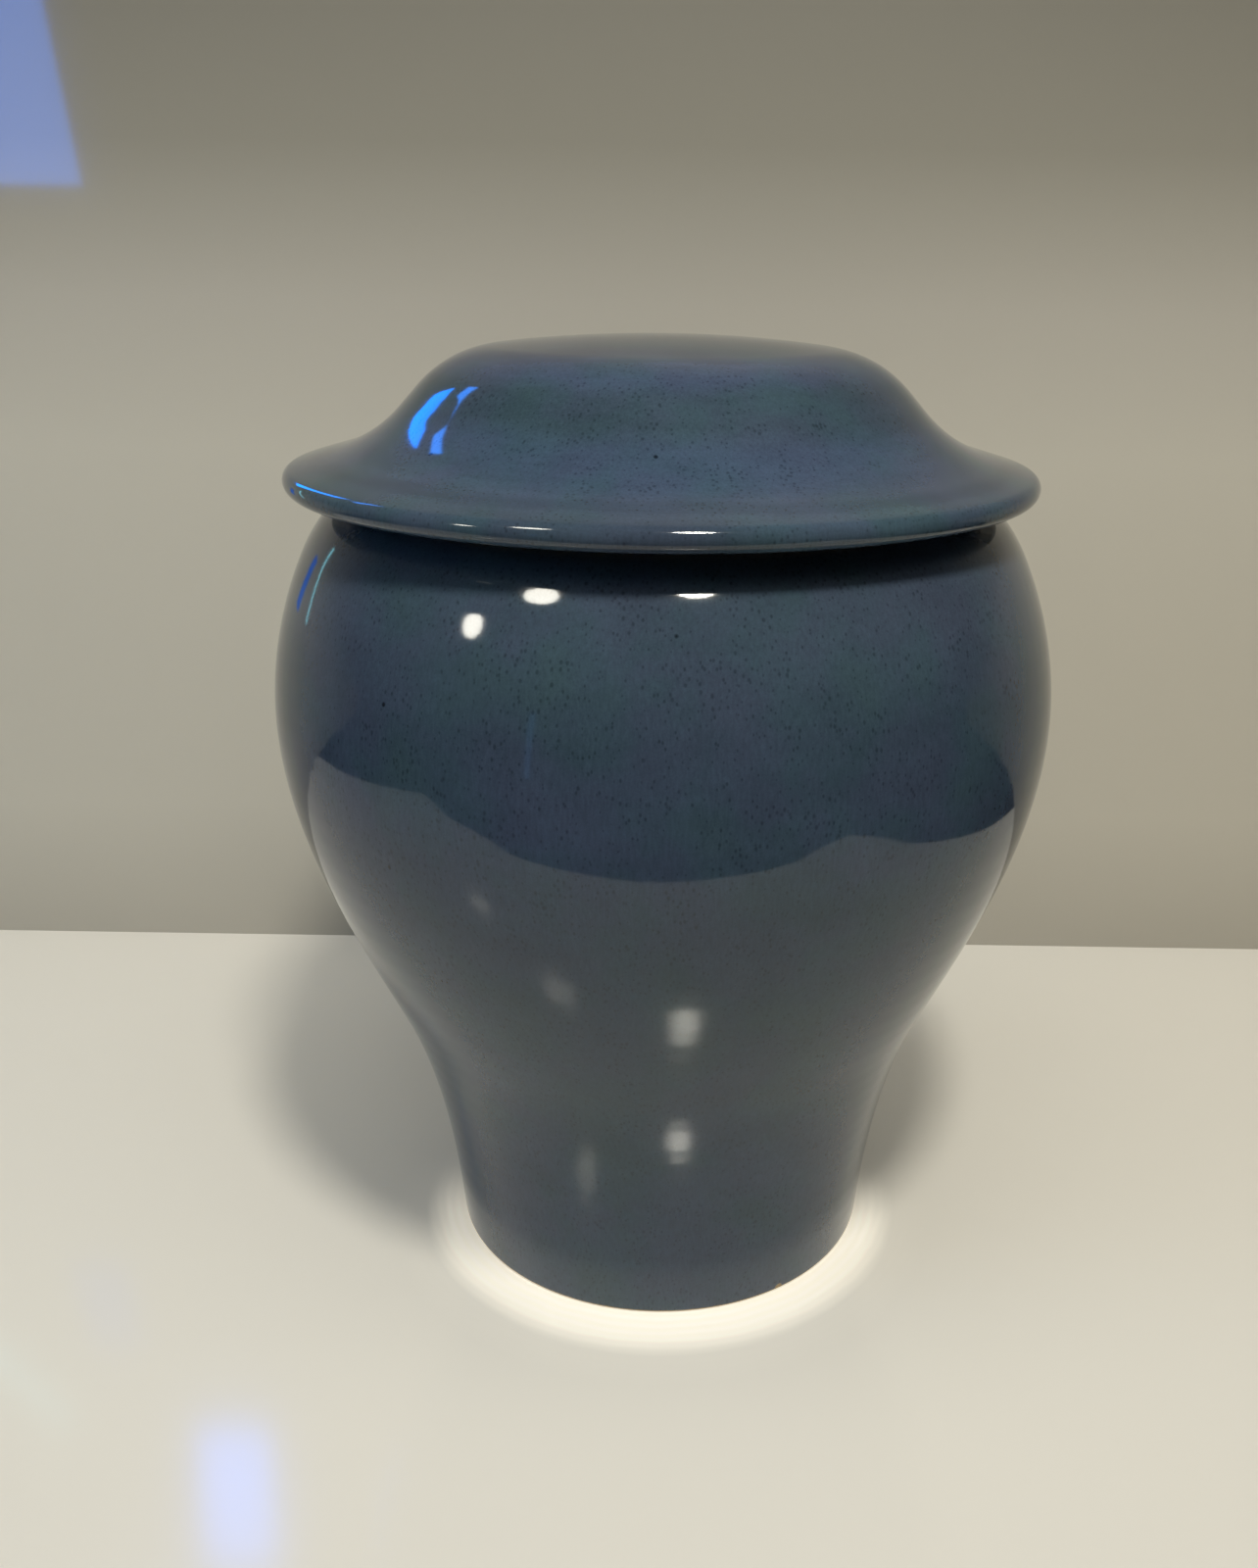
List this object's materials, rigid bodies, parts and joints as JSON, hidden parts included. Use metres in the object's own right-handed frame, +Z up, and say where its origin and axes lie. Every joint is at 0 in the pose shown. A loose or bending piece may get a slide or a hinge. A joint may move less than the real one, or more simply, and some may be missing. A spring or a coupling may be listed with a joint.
{
  "type": "funeral urn",
  "caption": "Baluster-shaped glazed stoneware funeral urn: a hollow jar on a plain foot with a loose, wide-brimmed domed lid.",
  "frame": {"origin": "centre of the jar's foot, on the surface that the urn stands on", "axes": "+Z up along the axis that the jar was thrown on; +X to the right and +Y away, as the urn is seen in the picture"},
  "size_m": [0.203, 0.203, 0.2499],
  "materials": {
    "jar_glaze": "glossy slate-blue glaze with fine dark specks, bare clay at the foot's edge",
    "lid_glaze": "glossy slate-blue glaze with fine dark specks, bare clay at the seat"
  },
  "bodies": {
    "root": {"jar": "jar_glaze", "lid": "lid_glaze"}
  },
  "joints": []
}
